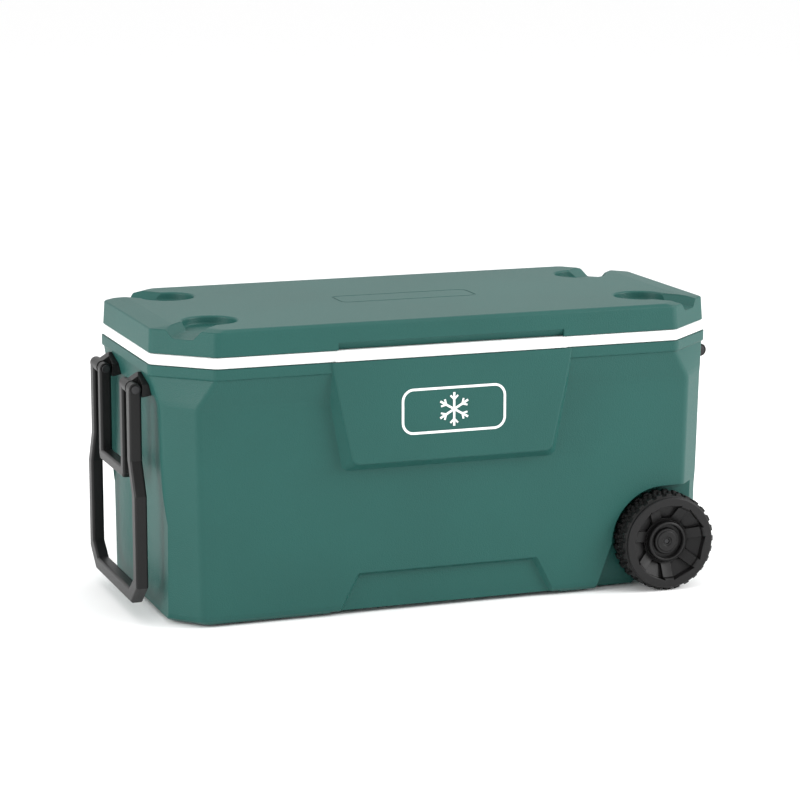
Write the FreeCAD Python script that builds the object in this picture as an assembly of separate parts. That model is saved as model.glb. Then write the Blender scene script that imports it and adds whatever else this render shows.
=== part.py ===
import FreeCAD, Part
import math
import os

# A wheeled chest cooler: an insulated tub with a white liner, a hinged insulated lid with four cup
# holders, a tow handle and a carry handle at one end, a carry handle, two wheels and a drain at the other.
# Frame: X along the length (tow handle at -X, wheels at +X), Y across (front at -Y, lid hinge at +Y),
# Z up, origin on the ground at the middle of the footprint. All sizes are in millimetres.

V = FreeCAD.Vector

# ---- driving sizes -------------------------------------------------------------------------------
RIM_LENGTH = 950.0          # outside length over the tub's rim
RIM_WIDTH = 460.0           # outside width over the tub's rim
OVERALL_HEIGHT = 474.0      # ground to the lid's flat top
GROUND_GAP = 3.5            # the tub's underside stands this high on its feet
LID_HEIGHT = 41.5           # the lid's skirt edge to its flat top
SEAM_GAP = 1.0              # lid edge above the liner's flange
FLANGE_HEIGHT = 17.0        # white band that shows between tub and lid
RIM_GAP = 1.0               # dark line between the white band and the tub's rim
RIM_HEIGHT = 16.5           # straight band at the top of the tub
SLOPE_HEIGHT = 45.0         # sloped face under the rim band
RIM_STEP = 3.0              # how far the slope starts inside the rim band
WALL_INSET_TOP = 14.0       # main wall inside the rim band, at its top
WALL_INSET_BOTTOM = 20.0    # and at its bottom, after the draft
RIM_LEG_X, RIM_LEG_Y = 87.0, 80.0      # corner facet's legs at the rim
WALL_LEG_X, WALL_LEG_Y = 46.0, 50.0    # and on the main wall
CORNER_ROUND = 16.0         # rounding of each vertical facet edge
SHELL_WALL = 2.5            # green outer skins
LINER_WALL = 2.2            # white inner skins
FIT_GAP = 0.3               # clearance between pieces that are laid together

BAND_INSET = 2.5            # white band inside the tub's rim
LIP_INSET = 6.0             # tub's hidden lip, inside the white band's skirt
LIP_HEIGHT = 11.0

PANEL_PROUD = 3.0           # front panel stands this far out of the rim
PANEL_HALF_TOP, PANEL_HALF_MID, PANEL_HALF_LOW = 203.0, 193.0, 169.0
PANEL_MID_Z, PANEL_LOW_Z = 358.0, 248.0
PANEL_ROUND = 14.0
PANEL_BEVEL = 14.0          # how far the panel's sides run out at the wall

RECESS_HALF_LOW, RECESS_HALF_TOP = 197.0, 153.0
RECESS_TOP_Z = 68.0
RECESS_DEPTH = 8.0
UNDERSIDE_LIFT = 4.0        # middle of the underside above its ends

POCKET_DEPTH_INSET = 23.0   # floor of the handle pocket, inside the rim
POCKET_HALF_TOP, POCKET_HALF_MID, POCKET_HALF_LOW = 142.0, 152.0, 180.0
POCKET_TOP_GAP = 4.0        # pocket's top edge above the foot of the slope
POCKET_MID_Z, POCKET_LOW_Z = 248.0, 114.0

FOOT_LENGTH, FOOT_WIDTH, FOOT_ROUND = 60.0, 46.0, 10.0
FOOT_X, FOOT_Y = -372.0, 120.0

# wheels and axle
WHEEL_RADIUS = 81.0
WHEEL_WIDTH = 54.0
WHEEL_X = 375.0
WHEEL_FACE_Y = 245.0        # outer face of each wheel
WHEEL_SIDE_GAP = 5.0        # wheel to the inner wall of its well
WELL_GAP = 8.0              # wheel to the arch over it
WELL_FOOT_X = 258.0         # where the arch's front edge meets the underside
AXLE_RADIUS = 6.0
AXLE_RUN = 0.08             # running clearance of the hub on the axle
SLEEVE_WALL = 2.5
WASHER_THICK = 2.0
TYRE_THICK = 9.0
SPOKES = 7
SPOKE_ANGLE = -90.0         # one spoke points straight down
RING_INNER = 60.0           # inner edge of the flat ring on the wheel's face
CAP_DEEP, CAP_SEAT = 13.0, 8.5          # hub cap's depth below the wheel's face, and the counterbore it fits
HUB_SEAT = 19.0             # depth of the counterbore for the axle's end screw
END_PLAY = 0.4              # the end screw's washer stands off the hub
END_WASHER_R, END_WASHER_T, END_HEX_R = 7.6, 1.6, 4.0

# cavity
MOUTH_INSET_X, MOUTH_INSET_Y = 43.0, 44.0
CAVITY_DRAFT_X, CAVITY_DRAFT_Y = 14.0, 21.0
FLOOR_Z = 42.0
CAVITY_ROUND = 42.0
HUMP_X, HUMP_Z = 290.0, 105.0          # raised floor over the axle

# drain
DRAIN_BORE, DRAIN_TUBE_WALL = 8.5, 2.5
DRAIN_FLANGE_R, DRAIN_FLANGE_T = 17.0, 3.0
DRAIN_GASKET_T = 1.8
DRAIN_NECK = 11.0
DRAIN_CAP_WALL = 2.4

# lid
LID_DRAFT = 2.0
LID_EDGE_DROP = 5.5         # flat top above the crease of its side walls
LID_BEVEL_END, LID_BEVEL_SIDE = 38.0, 7.0
CUP_X, CUP_Y = 368.0, 125.0
CUP_RADIUS, CUP_DEPTH = 45.0, 14.0
CHANNEL_HALF_FLOOR, CHANNEL_HALF_TOP = 15.0, 29.0
CHANNEL_DROP = 14.0         # notch floor under the crease of the lid's side walls
SCOOP_HALF, SCOOP_HEIGHT, SCOOP_DEPTH = 190.0, 13.5, 9.0
LID_PLUG_DEPTH = 10.5       # how far the lid's underside reaches into the mouth
LID_PLUG_GAP = 7.0
FRAME_LENGTH, FRAME_WIDTH, FRAME_LINE, FRAME_SINK = 236.0, 66.0, 3.0, 0.9

# handles
PIVOT_OUT = 15.0            # pivot outside the rim's end face
PIVOT_DROP = 42.0           # pivot below the top of the rim
TOW_ARM, TOW_DEPTH = 22.0, 20.0
TOW_HALF_TOP, TOW_HALF_LOW = 128.0, 153.0
TOW_JOG_TOP_Z, TOW_JOG_LOW_Z = 258.0, 206.0
TOW_GROUND_GAP = 27.0
TOW_CORNER_Y, TOW_CORNER_Z = 38.0, 32.0
CARRY_ARM, CARRY_DEPTH = 18.0, 19.0
CARRY_HALF = 80.0
CARRY_CORNER = 8.0
CARRY_BOTTOM_Z = 221.0
HANDLE_ROUND = 4.0
BRACKET_RIDGE_DROP = 4.0    # the bracket's ridge below the rim band
BRACKET_SIDE_DROP = 18.0    # and its outer edges
PIN_RADIUS, PIN_RUN = 4.0, 0.08
PIN_HEAD_R, PIN_HEAD_T = 6.5, 2.0

# hinges
HINGE_X = (-300.0, 0.0, 300.0)
HINGE_WIDTH, HINGE_PLATE = 62.0, 2.6
HINGE_OUT = 8.0             # hinge axis behind the tub's rim
KNUCKLE_R, HINGE_PIN_R, HINGE_RUN = 5.0, 2.2, 0.06
HINGE_GAP = 0.6

SCREW_SHANK, SCREW_HEAD, SCREW_CONE, SCREW_LENGTH = 1.9, 3.8, 2.2, 12.0

# emblem on the front panel: a plain rounded frame round a six-armed snowflake
BADGE_LENGTH, BADGE_HEIGHT, BADGE_LINE, BADGE_THICK = 176.0, 74.0, 4.0, 0.8
BADGE_MIDDLE_Z = 328.0
FLAKE_ARM, FLAKE_LINE, FLAKE_TWIG = 27.0, 3.6, 9.0

# ---- places that follow from them ----------------------------------------------------------------
LID_TOP = OVERALL_HEIGHT
LID_EDGE = LID_TOP - LID_HEIGHT
FLANGE_TOP = LID_EDGE - SEAM_GAP
FLANGE_LOW = FLANGE_TOP - FLANGE_HEIGHT
RIM_TOP = FLANGE_LOW - RIM_GAP
RIM_LOW = RIM_TOP - RIM_HEIGHT
WALL_TOP = RIM_LOW - SLOPE_HEIGHT
HALF_L, HALF_W = RIM_LENGTH / 2, RIM_WIDTH / 2
WHEEL_IN_Y = WHEEL_FACE_Y - WHEEL_WIDTH
WELL_Y = WHEEL_IN_Y - WHEEL_SIDE_GAP
AXLE_Z = WHEEL_RADIUS
AXLE_END_Y = WHEEL_FACE_Y - HUB_SEAT + END_PLAY
WELL_R = WHEEL_RADIUS + WELL_GAP
SLEEVE_R = AXLE_RADIUS + SLEEVE_WALL
DRAIN_Z = FLOOR_Z + DRAIN_BORE + 0.5
DRAIN_R = DRAIN_BORE + DRAIN_TUBE_WALL
UNDERCUT_X = WHEEL_X + 43.0            # recessed end face that the drain comes out of
PIVOT_X = HALF_L + PIVOT_OUT
PIVOT_Z = RIM_TOP - PIVOT_DROP
HINGE_Y = HALF_W + HINGE_OUT
HINGE_Z = FLANGE_TOP + SEAM_GAP / 2
MOUTH_X, MOUTH_Y = HALF_L - MOUTH_INSET_X, HALF_W - MOUTH_INSET_Y
OFFSET_LEG = 2 - math.sqrt(2)          # a 45-degree facet's leg shrinks by this share of an offset
BELOW = -30.0                          # cutting blocks start this far under the ground
BEYOND = HALF_L + 50.0                 # and reach this far past the tub's end


# ---- shape helpers -------------------------------------------------------------------------------
def corner_arc(before, here, after, radius):
    """Start, middle and end of the arc that rounds a 2D corner."""
    before, here, after = V(*before, 0), V(*here, 0), V(*after, 0)
    to_before, to_after = (before - here).normalize(), (after - here).normalize()
    half = to_before.getAngle(to_after) / 2
    bisector = (to_before + to_after).normalize()
    reach = radius / math.tan(half)
    middle = here + bisector * (radius / math.sin(half) - radius)
    return here + to_before * reach, middle, here + to_after * reach


def rounded_wire(corners, radius, to_space, sharp=()):
    """A closed wire through 2D corners, placed by to_space(u, v); corners listed in sharp stay sharp."""
    count = len(corners)
    spans = []
    for i, here in enumerate(corners):
        if i in sharp:
            spans.append([V(*here, 0)])
        else:
            spans.append(corner_arc(corners[i - 1], here, corners[(i + 1) % count], radius))
    edges = []
    for i, span in enumerate(spans):
        points = [to_space(p.x, p.y) for p in span]
        following = spans[(i + 1) % count][0]
        if len(points) == 3:
            edges.append(Part.Arc(*points).toShape())
        edges.append(Part.LineSegment(points[-1], to_space(following.x, following.y)).toShape())
    return Part.Wire(edges)


def octagon(inset_x, inset_y, z, leg_x, leg_y, rounding=CORNER_ROUND):
    """The tub's or lid's outline at a height: a rectangle with a facet at each corner."""
    x, y = HALF_L - inset_x, HALF_W - inset_y
    corners = [(-x + leg_x, -y), (x - leg_x, -y), (x, -y + leg_y), (x, y - leg_y),
               (x - leg_x, y), (-x + leg_x, y), (-x, y - leg_y), (-x, -y + leg_y)]
    return rounded_wire(corners, rounding, lambda u, v: V(u, v, z))


def rectangle(half_x, half_y, z, rounding):
    corners = [(-half_x, -half_y), (half_x, -half_y), (half_x, half_y), (-half_x, half_y)]
    return rounded_wire(corners, rounding, lambda u, v: V(u, v, z))


def loft(wires):
    return Part.makeLoft(wires, True, True)


def prism(points, direction):
    """A solid from a closed list of 3D points, drawn out along a vector."""
    return Part.Face(Part.makePolygon(points + points[:1])).extrude(direction)


def xz_prism(outline, y_from, y_to):
    return prism([V(x, y_from, z) for x, z in outline], V(0, y_to - y_from, 0))


def yz_prism(outline, x_from, x_to):
    return prism([V(x_from, y, z) for y, z in outline], V(x_to - x_from, 0, 0))


def box(x0, x1, y0, y1, z0, z1):
    return Part.makeBox(x1 - x0, y1 - y0, z1 - z0, V(x0, y0, z0))


def rod_x(radius, x0, x1, y, z):
    return Part.makeCylinder(radius, x1 - x0, V(x0, y, z), V(1, 0, 0))


def rod_y(radius, y0, y1, x, z):
    return Part.makeCylinder(radius, y1 - y0, V(x, y0, z), V(0, 1, 0))


def turned(profile, base, axis, side):
    """A solid of revolution from (radius, distance along the axis) pairs; side is the radial direction."""
    points = [base + side * r + axis * a for r, a in profile]
    return Part.Face(Part.makePolygon(points + points[:1])).revolve(base, axis, 360)


def mirrored_y(shape):
    return shape.mirror(V(0, 0, 0), V(0, 1, 0))


def mirrored_x(shape):
    return shape.mirror(V(0, 0, 0), V(1, 0, 0))


def fuse(shapes):
    return shapes[0].fuse(shapes[1:]).removeSplitter() if len(shapes) > 1 else shapes[0]


# ---- tub -----------------------------------------------------------------------------------------
def rim_legs(inset):
    """The legs of the rim's corner facets, for an outline set in evenly."""
    return RIM_LEG_X - OFFSET_LEG * inset, RIM_LEG_Y - OFFSET_LEG * inset


def tub_levels(skin):
    """Outlines of the tub from its underside to its rim, set in from the outside by the skin's thickness."""
    rounding = max(CORNER_ROUND - skin, 2.0)
    foot = GROUND_GAP + skin
    rows = [(foot, WALL_INSET_BOTTOM + 11.0, 0.0), (foot + 2.5, WALL_INSET_BOTTOM + 5.5, 0.0),
            (foot + 7.0, WALL_INSET_BOTTOM + 1.6, 0.0), (foot + 14.0, WALL_INSET_BOTTOM, 0.0),
            (WALL_TOP - 7.0, WALL_INSET_TOP + 0.2, 0.0), (WALL_TOP, WALL_INSET_TOP - 0.7, 0.05),
            (WALL_TOP + 7.0, WALL_INSET_TOP - 2.4, 0.18), (RIM_LOW - 1.5, RIM_STEP, 0.95),
            (RIM_LOW, 0.5, 1.0), (RIM_LOW + 1.5, 0.0, 1.0)]
    levels = []
    for z, inset, share in rows:
        leg_x = WALL_LEG_X + (RIM_LEG_X - WALL_LEG_X) * share - OFFSET_LEG * skin
        leg_y = WALL_LEG_Y + (RIM_LEG_Y - WALL_LEG_Y) * share - OFFSET_LEG * skin
        levels.append(octagon(inset + skin, inset + skin, z, leg_x, leg_y, rounding))
    legs = rim_legs(skin)
    levels.append(octagon(skin, skin, RIM_TOP - skin, *legs, rounding))
    return levels


def panel(skin):
    """The proud panel in the middle of the front, which runs up to the rim."""
    face_y = -HALF_W - PANEL_PROUD + skin
    top = RIM_TOP - skin

    def outline(out, y):
        """The panel's edge, grown outwards; only its two low corners are rounded."""
        grow = out - skin
        low, middle, high = PANEL_HALF_LOW + grow, PANEL_HALF_MID + grow, PANEL_HALF_TOP + grow
        foot = PANEL_LOW_Z - grow
        corners = [(-low, foot), (low, foot), (middle, PANEL_MID_Z), (high, top)]
        corners += [(-high, top), (-middle, PANEL_MID_Z)]
        return rounded_wire(corners, PANEL_ROUND, lambda x, z: V(x, y, z), sharp=(2, 3, 4, 5))

    inside = -HALF_W + WALL_INSET_BOTTOM + skin
    return loft([outline(-3.5, face_y), outline(-1.0, face_y + 0.9), outline(0.0, face_y + 3.0),
                 outline(PANEL_BEVEL, inside)])


def recess(skin):
    """The shallow recess low in the front and back, cut as a tapered block; skin makes it larger."""
    wall_y = HALF_W - WALL_INSET_BOTTOM

    def outline(grow, y):
        low, top, up = RECESS_HALF_LOW + grow, RECESS_HALF_TOP + grow, RECESS_TOP_Z + grow
        corners = [(-low - 8, BELOW), (low + 8, BELOW), (top, up), (-top, up)]
        return rounded_wire(corners, 5.0, lambda x, z: V(x, y, z))

    block = loft([outline(skin + 6.0, -wall_y - 14.0), outline(skin, -wall_y),
                  outline(skin - 5.0, -wall_y + RECESS_DEPTH + skin)])
    return [block, mirrored_y(block)]


def underside_lift(skin):
    z = GROUND_GAP + UNDERSIDE_LIFT + skin
    half = RECESS_HALF_LOW + skin
    outline = [(-half - 6, BELOW), (half + 6, BELOW), (half, z), (-half, z)]
    return xz_prism(outline, -RIM_WIDTH, RIM_WIDTH)


def handle_pocket(skin):
    """The pocket in each end wall behind the hanging handles."""
    floor_x = HALF_L - POCKET_DEPTH_INSET - skin
    top = WALL_TOP + POCKET_TOP_GAP

    def outline(grow, x):
        rows = [(POCKET_HALF_TOP, top + grow), (POCKET_HALF_MID, POCKET_MID_Z)]
        rows += [(POCKET_HALF_LOW, POCKET_LOW_Z), (POCKET_HALF_LOW + 3, BELOW)]
        left = [(-half - grow, z) for half, z in rows]
        right = [(half + grow, z) for half, z in reversed(rows)]
        return rounded_wire(left + right, 12.0, lambda y, z: V(x, y, z))

    block = loft([outline(skin + 8.0, floor_x + 16.0 + skin), outline(skin - 2.0, floor_x)])
    return [block, mirrored_x(block)]


def wheel_well(skin):
    """The arch and the space for each wheel."""
    radius = WELL_R + skin
    left, top = WHEEL_X - radius, AXLE_Z + radius
    foot_x = WELL_FOOT_X - skin
    slope = (left - foot_x) / (AXLE_Z - GROUND_GAP)
    start = V(foot_x - slope * (GROUND_GAP - BELOW), 0, BELOW)
    arch_end = V(WHEEL_X, 0, top)
    half_root = math.sqrt(0.5)
    arch_middle = V(WHEEL_X - radius * half_root, 0, AXLE_Z + radius * half_root)
    side = V(left, 0, AXLE_Z)
    edges = [Part.LineSegment(start, side).toShape(), Part.Arc(side, arch_middle, arch_end).toShape()]
    rest = [arch_end, V(BEYOND, 0, top), V(BEYOND, 0, BELOW), start]
    edges += [Part.LineSegment(a, b).toShape() for a, b in zip(rest, rest[1:])]
    block = Part.Face(Part.Wire(edges)).extrude(V(0, RIM_WIDTH, 0))
    block.translate(V(0, WELL_Y - skin, 0))
    return [block, mirrored_y(block)]


def wheel_end_undercut(skin):
    """The underside is cut back behind the axle, so that the tub can be tipped onto its wheels."""
    z1, z2, z3 = GROUND_GAP + 19.0 + skin, AXLE_Z - 2.0 + skin, AXLE_Z + 24.0 + skin
    x1, x2 = WHEEL_X - 42.0 - skin, WHEEL_X - 23.0 - skin
    x3 = UNDERCUT_X - skin
    outline = [(x1, BELOW), (x1, GROUND_GAP), (x2, z1), (x3, z1), (x3, z2)]
    outline += [(HALF_L - 18.0, z3), (BEYOND, z3), (BEYOND, BELOW)]
    return xz_prism(outline, -RIM_WIDTH, RIM_WIDTH)


def tub_block(skin):
    """The tub's whole outside, set in by a skin: 0 gives the outside, the wall's thickness the inside."""
    body = loft(tub_levels(skin)).fuse(panel(skin))
    cuts = recess(skin) + [underside_lift(skin)] + handle_pocket(skin) + wheel_well(skin)
    return body.cut(cuts + [wheel_end_undercut(skin)])


def ring_block(inset, z_from, z_to):
    """A straight block with the rim's outline set in evenly."""
    rounding = max(CORNER_ROUND - inset, 3.0)
    return loft([octagon(inset, inset, z, *rim_legs(inset), rounding) for z in (z_from, z_to)])


def feet():
    """Two moulded pads under the tow-handle end."""
    pads = []
    for y in (-FOOT_Y, FOOT_Y):
        wires = []
        for z, grow in ((0.0, -1.5), (1.5, 0.0), (GROUND_GAP + SHELL_WALL / 2, 2.0)):
            wires.append(rectangle(FOOT_LENGTH / 2 + grow, FOOT_WIDTH / 2 + grow, z, FOOT_ROUND))
        pad = loft(wires)
        pad.translate(V(FOOT_X, y, 0))
        pads.append(pad)
    return pads


def cavity(skin):
    """The space inside the liner, made larger by a skin."""
    floor = FLOOR_Z - skin
    levels = []
    for z, pinch, share in ((floor, 12.0, 0.0), (floor + 4.0, 4.0, 0.012), (floor + 12.0, 0.0, 0.034),
                            (FLANGE_TOP, 0.0, 1.0)):
        half_x = MOUTH_X - CAVITY_DRAFT_X * (1 - share) + skin - pinch
        half_y = MOUTH_Y - CAVITY_DRAFT_Y * (1 - share) + skin - pinch
        levels.append(rectangle(half_x, half_y, z, CAVITY_ROUND + skin - pinch))
    hump_x, hump_z, soft = HUMP_X + skin, HUMP_Z - skin, 10.0
    outline = [(hump_x, 0), (hump_x, hump_z - soft), (hump_x + soft, hump_z), (HALF_L, hump_z), (HALF_L, 0)]
    return loft(levels).cut(xz_prism(outline, -HALF_W, HALF_W))


def axle_hole(radius):
    return rod_y(radius, -WELL_Y - 20, WELL_Y + 20, WHEEL_X, AXLE_Z)


def drain_hole(radius):
    return rod_x(radius, HUMP_X - 10, UNDERCUT_X + 10, 0, DRAIN_Z)


def shell_inside():
    """What the outer shell leaves free: the foam fills it."""
    lip_inside = LIP_INSET + SHELL_WALL
    return tub_block(SHELL_WALL).fuse(ring_block(lip_inside, RIM_LOW, FLANGE_TOP - LINER_WALL))


def outer_shell(screws):
    outside = fuse([tub_block(0.0), ring_block(LIP_INSET, RIM_LOW, RIM_TOP + LIP_HEIGHT)] + feet())
    return outside.cut([shell_inside(), axle_hole(SLEEVE_R), drain_hole(DRAIN_R)] + screws)


def tub_foam(screws):
    top = FLANGE_TOP - LINER_WALL - FIT_GAP
    block = shell_inside().cut([cavity(LINER_WALL), axle_hole(SLEEVE_R), drain_hole(DRAIN_R)] + screws)
    return block.cut(box(-HALF_L, HALF_L, -HALF_W, HALF_W, top, top + 50))


def flange_jog(z_from, z_to):
    """The white band steps out over the front panel."""
    y, step = -HALF_W + BAND_INSET, PANEL_PROUD
    half = PANEL_HALF_MID
    points = [V(-half - step, y + 1, z_from), V(-half - step, y, z_from), V(-half, y - step, z_from),
              V(half, y - step, z_from), V(half + step, y, z_from), V(half + step, y + 1, z_from)]
    return prism(points, V(0, 0, z_to - z_from))


def inner_liner():
    """White liner: the band that shows under the lid, its hidden skirt, and the pan inside the tub."""
    legs = rim_legs(BAND_INSET)
    soft = 1.6
    rows = ((BAND_INSET, FLANGE_LOW), (BAND_INSET, FLANGE_TOP - soft), (BAND_INSET + soft, FLANGE_TOP))
    band = loft([octagon(inset, inset, z, *legs) for inset, z in rows])
    hollow = ring_block(LIP_INSET - FIT_GAP, FLANGE_LOW - 1, FLANGE_TOP - LINER_WALL)
    skirt = band.fuse(flange_jog(FLANGE_LOW, FLANGE_TOP - soft)).cut(hollow)
    pan = cavity(LINER_WALL)
    return skirt.fuse(pan).cut([cavity(0.0), drain_hole(DRAIN_R)]).removeSplitter()


# ---- emblem --------------------------------------------------------------------------------------
def badge_box(radial, across, angle):
    """A flat bar of the snowflake, turned about the emblem's middle; radial and across are (from, to)."""
    y0 = -HALF_W - PANEL_PROUD - BADGE_THICK
    z0, z1 = BADGE_MIDDLE_Z + radial[0], BADGE_MIDDLE_Z + radial[1]
    bar = box(across[0], across[1], y0, y0 + BADGE_THICK, z0, z1)
    bar.rotate(V(0, 0, BADGE_MIDDLE_Z), V(0, 1, 0), angle)
    return bar


def panel_badge():
    """The emblem's frame and its snowflake, two thin bonded pieces on the panel's face."""
    y0 = -HALF_W - PANEL_PROUD - BADGE_THICK

    def plate(inset):
        half_x, half_z = BADGE_LENGTH / 2 - inset, BADGE_HEIGHT / 2 - inset
        corners = [(-half_x, -half_z), (half_x, -half_z), (half_x, half_z), (-half_x, half_z)]
        wire = rounded_wire(corners, 20.0 - inset, lambda u, v: V(u, y0, BADGE_MIDDLE_Z + v))
        return Part.Face(wire).extrude(V(0, BADGE_THICK, 0))

    bars = []
    half = FLAKE_LINE / 2
    for i in range(6):
        bars.append(badge_box((0, FLAKE_ARM), (-half, half), i * 60.0))
        for tilt in (-45.0, 45.0):
            twig = badge_box((0, FLAKE_TWIG), (-half * 0.8, half * 0.8), tilt)
            twig.translate(V(0, 0, FLAKE_ARM * 0.58))
            twig.rotate(V(0, 0, BADGE_MIDDLE_Z), V(0, 1, 0), i * 60.0)
            bars.append(twig)
    return [plate(0.0).cut(plate(BADGE_LINE)), fuse(bars)]


# ---- drain ---------------------------------------------------------------------------------------
def drain_face():
    return UNDERCUT_X + DRAIN_GASKET_T


def drain_tube():
    face = drain_face()
    flange_end = face + DRAIN_FLANGE_T
    profile = [(DRAIN_BORE, HUMP_X), (DRAIN_R, HUMP_X), (DRAIN_R, face), (DRAIN_FLANGE_R, face),
               (DRAIN_FLANGE_R, flange_end), (DRAIN_R, flange_end), (DRAIN_R, flange_end + DRAIN_NECK),
               (DRAIN_BORE, flange_end + DRAIN_NECK)]
    return turned(profile, V(0, 0, DRAIN_Z), V(1, 0, 0), V(0, 1, 0))


def drain_gasket():
    face = drain_face()
    profile = [(DRAIN_R, UNDERCUT_X), (DRAIN_FLANGE_R, UNDERCUT_X), (DRAIN_FLANGE_R, face), (DRAIN_R, face)]
    return turned(profile, V(0, 0, DRAIN_Z), V(1, 0, 0), V(0, 1, 0))


def drain_stopper():
    """A push-on cap with an inner plug and a finger tab."""
    start = drain_face() + DRAIN_FLANGE_T + 1.0
    rim = drain_face() + DRAIN_FLANGE_T + DRAIN_NECK + FIT_GAP
    end = rim + DRAIN_CAP_WALL
    inner, outer = DRAIN_R + FIT_GAP, DRAIN_R + FIT_GAP + DRAIN_CAP_WALL
    plug = DRAIN_BORE - FIT_GAP
    plug_end, soft = rim - 18.0, 1.0
    profile = [(0, plug_end), (plug - soft, plug_end), (plug, plug_end + 3.0), (plug, rim), (inner, rim)]
    profile += [(inner, start), (outer, start), (outer, end - soft), (outer - soft, end), (0, end)]
    cap = turned(profile, V(0, 0, DRAIN_Z), V(1, 0, 0), V(0, 1, 0))
    tab = box(end - 0.5, end + 7.0, -2.0, 2.0, DRAIN_Z - 9, DRAIN_Z + 9)
    return fuse([cap, tab])


# ---- wheels --------------------------------------------------------------------------------------
def wheel_frame():
    """Base, axis and side of the front wheel: distances run outwards from the wheel's inner face."""
    return V(WHEEL_X, -WHEEL_IN_Y, AXLE_Z), V(0, -1, 0), V(1, 0, 0)


def wheel_rim():
    """One-piece moulded wheel: rim barrel, dished web with pockets between its spokes, and hub."""
    w, bore = WHEEL_WIDTH, AXLE_RADIUS + AXLE_RUN
    barrel = WHEEL_RADIUS - TYRE_THICK
    lip = WHEEL_RADIUS - 5.5
    inner = barrel - 6.0
    back = [(bore, 0), (15, 0), (15, w - 26), (31, w - 24), (inner, w - 14), (inner, 3), (barrel, 3)]
    ring = [(barrel, w - 5.5), (lip, w - 4.5), (lip, w - 1.5), (lip - 1.5, w), (RING_INNER + 2, w)]
    dish = [(RING_INNER, w - 2), (RING_INNER - 1, w - 7), (34, w - 20)]
    collar = [(32.5, w - 11), (31.0, w - 10), (29.0, w - 10), (28.0, w - 12), (27, w - 19)]
    cap_z = w - CAP_DEEP
    hub = [(22, w - 19), (21, w - 14), (20, cap_z), (CAP_SEAT + 1, cap_z), (CAP_SEAT, cap_z - 1)]
    counterbore = [(CAP_SEAT, w - HUB_SEAT), (bore, w - HUB_SEAT)]
    base, axis, side = wheel_frame()
    wheel = turned(back + ring + dish + collar + hub + counterbore, base, axis, side)
    pockets = []
    step = 360.0 / SPOKES
    for i in range(SPOKES):
        pocket = wheel_pocket(w)
        pocket.rotate(base, axis, SPOKE_ANGLE + (i + 0.5) * step)
        pockets.append(pocket)
    return wheel.cut(pockets)


def wheel_pocket(width):
    """A pocket between two spokes, cut into the dished web from outside."""
    base, axis, side = wheel_frame()
    across = axis.cross(side)
    flare, above = 3.0, width + 5.0

    def section(radius, half, floor):
        centre = base + side * radius
        rows = [(-half, floor), (half, floor), (half + flare, above), (-half - flare, above)]
        points = [centre + across * a + axis * d for a, d in rows]
        return Part.makePolygon(points + points[:1])

    return loft([section(37.5, 8.0, width - 22.0), section(RING_INNER + 0.5, 18.5, width - 13.0)])


def tyre():
    """Tread band with rounded shoulders."""
    outer, barrel = WHEEL_RADIUS, WHEEL_RADIUS - TYRE_THICK
    inside, outside = 3.0, WHEEL_WIDTH - 5.5
    profile = [(barrel, inside), (outer - 4, inside), (outer - 1.5, inside + 2), (outer, inside + 6)]
    profile += [(outer, outside - 5.5), (outer - 1.5, outside - 2), (outer - 4.5, outside)]
    profile.append((barrel, outside))
    return turned(profile, *wheel_frame())


def hub_cap():
    """The ring that closes the hub round the axle's end screw."""
    face = WHEEL_WIDTH - CAP_DEEP
    seat = face + 0.05
    sleeve, hole = CAP_SEAT - FIT_GAP, 4.6
    profile = [(hole, face), (hole, face - 2), (sleeve, face - 2), (sleeve, face - 0.8)]
    profile += [(CAP_SEAT + 1.1, seat), (17.5, seat), (17.5, seat + 0.2), (16, seat + 1.4)]
    profile += [(sleeve, seat + 1.4), (7.2, face)]
    return turned(profile, *wheel_frame())


def axle():
    return rod_y(AXLE_RADIUS, -AXLE_END_Y, AXLE_END_Y, WHEEL_X, AXLE_Z)


def axle_sleeve():
    outer = rod_y(SLEEVE_R, -WELL_Y, WELL_Y, WHEEL_X, AXLE_Z)
    return outer.cut(rod_y(AXLE_RADIUS + 0.02, -WELL_Y, WELL_Y, WHEEL_X, AXLE_Z))


def axle_washers():
    """A thrust washer between each wheel and its well."""
    gap = (WHEEL_SIDE_GAP - WASHER_THICK) / 2
    inner = WELL_Y + gap
    ring = rod_y(13.0, inner, inner + WASHER_THICK, WHEEL_X, AXLE_Z)
    ring = ring.cut(rod_y(AXLE_RADIUS + 0.02, inner, inner + WASHER_THICK, WHEEL_X, AXLE_Z))
    return [ring, mirrored_y(ring)]


def axle_end_screws():
    """A retaining washer and hex screw in each end of the axle."""
    seat = AXLE_END_Y + END_WASHER_T
    washer = rod_y(END_WASHER_R, AXLE_END_Y, seat, WHEEL_X, AXLE_Z)
    angles = [math.radians(60 * i) for i in range(6)]
    points = [V(WHEEL_X + END_HEX_R * math.cos(a), seat, AXLE_Z + END_HEX_R * math.sin(a)) for a in angles]
    head = prism(points, V(0, 3.0, 0))
    screw = fuse([washer, head])
    return [screw, mirrored_y(screw)]


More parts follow.
